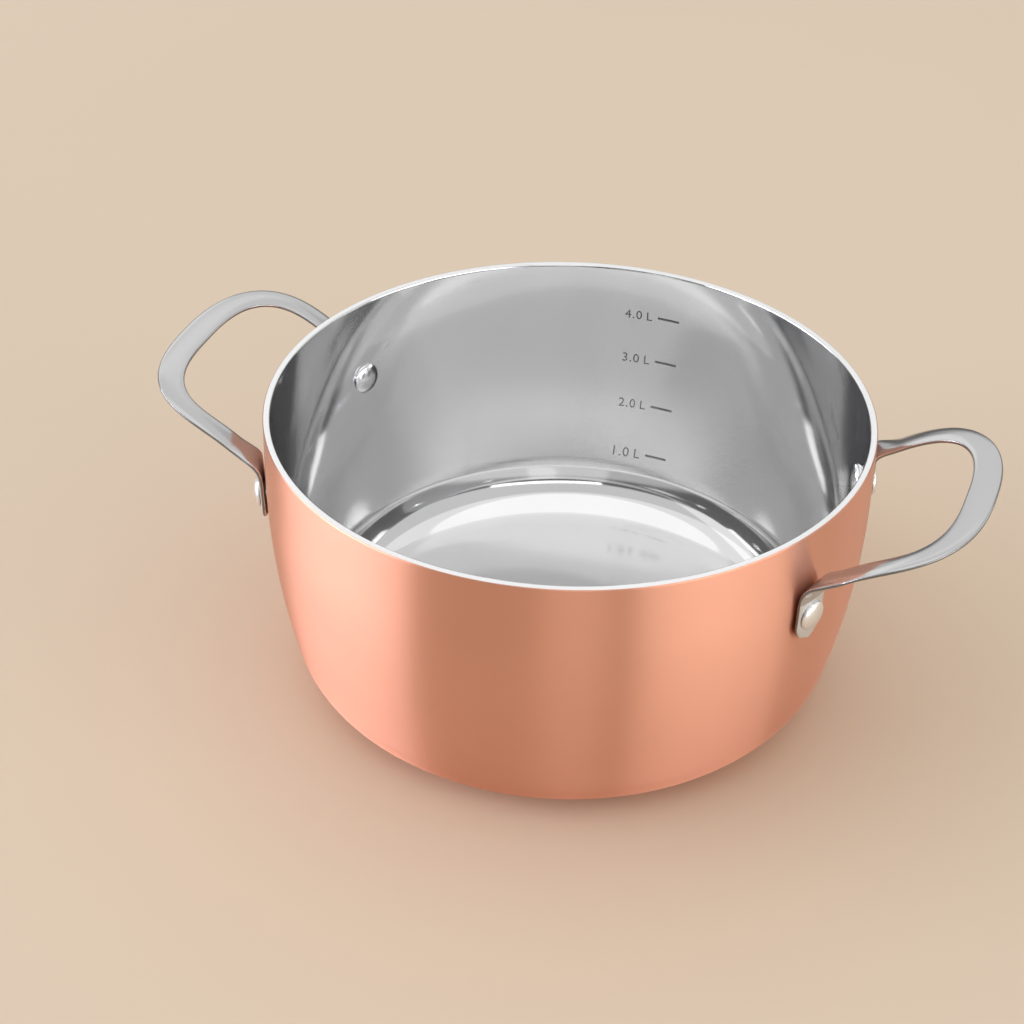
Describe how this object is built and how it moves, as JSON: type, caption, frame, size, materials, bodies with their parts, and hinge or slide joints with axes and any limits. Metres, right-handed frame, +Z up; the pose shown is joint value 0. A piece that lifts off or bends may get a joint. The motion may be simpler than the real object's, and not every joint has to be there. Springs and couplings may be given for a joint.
{
  "type": "cooking pot",
  "caption": "Round open cooking pot of copper-clad layered sheet with a polished steel inside and riveted steel loop handles, for cooking on a hob.",
  "frame": {"origin": "middle of the flat base, on the surface that the pot stands on", "axes": "+Z up along the pot's axis, +X through the middle of the right handle, the printed marks' wall towards +Y"},
  "size_m": [0.3448, 0.246, 0.1221],
  "materials": {
    "copper": "satin copper",
    "aluminium": "ground",
    "polished_steel": "polished",
    "satin_steel": "satin",
    "rivet_steel": "polished"
  },
  "bodies": {
    "root": {"copper_outer_shell": "copper", "aluminium_core": "aluminium", "steel_inner_liner": "polished_steel", "right_handle": "satin_steel", "left_handle": "satin_steel", "right_front_rivet": "rivet_steel", "right_rear_rivet": "rivet_steel", "left_front_rivet": "rivet_steel", "left_rear_rivet": "rivet_steel"}
  },
  "joints": []
}
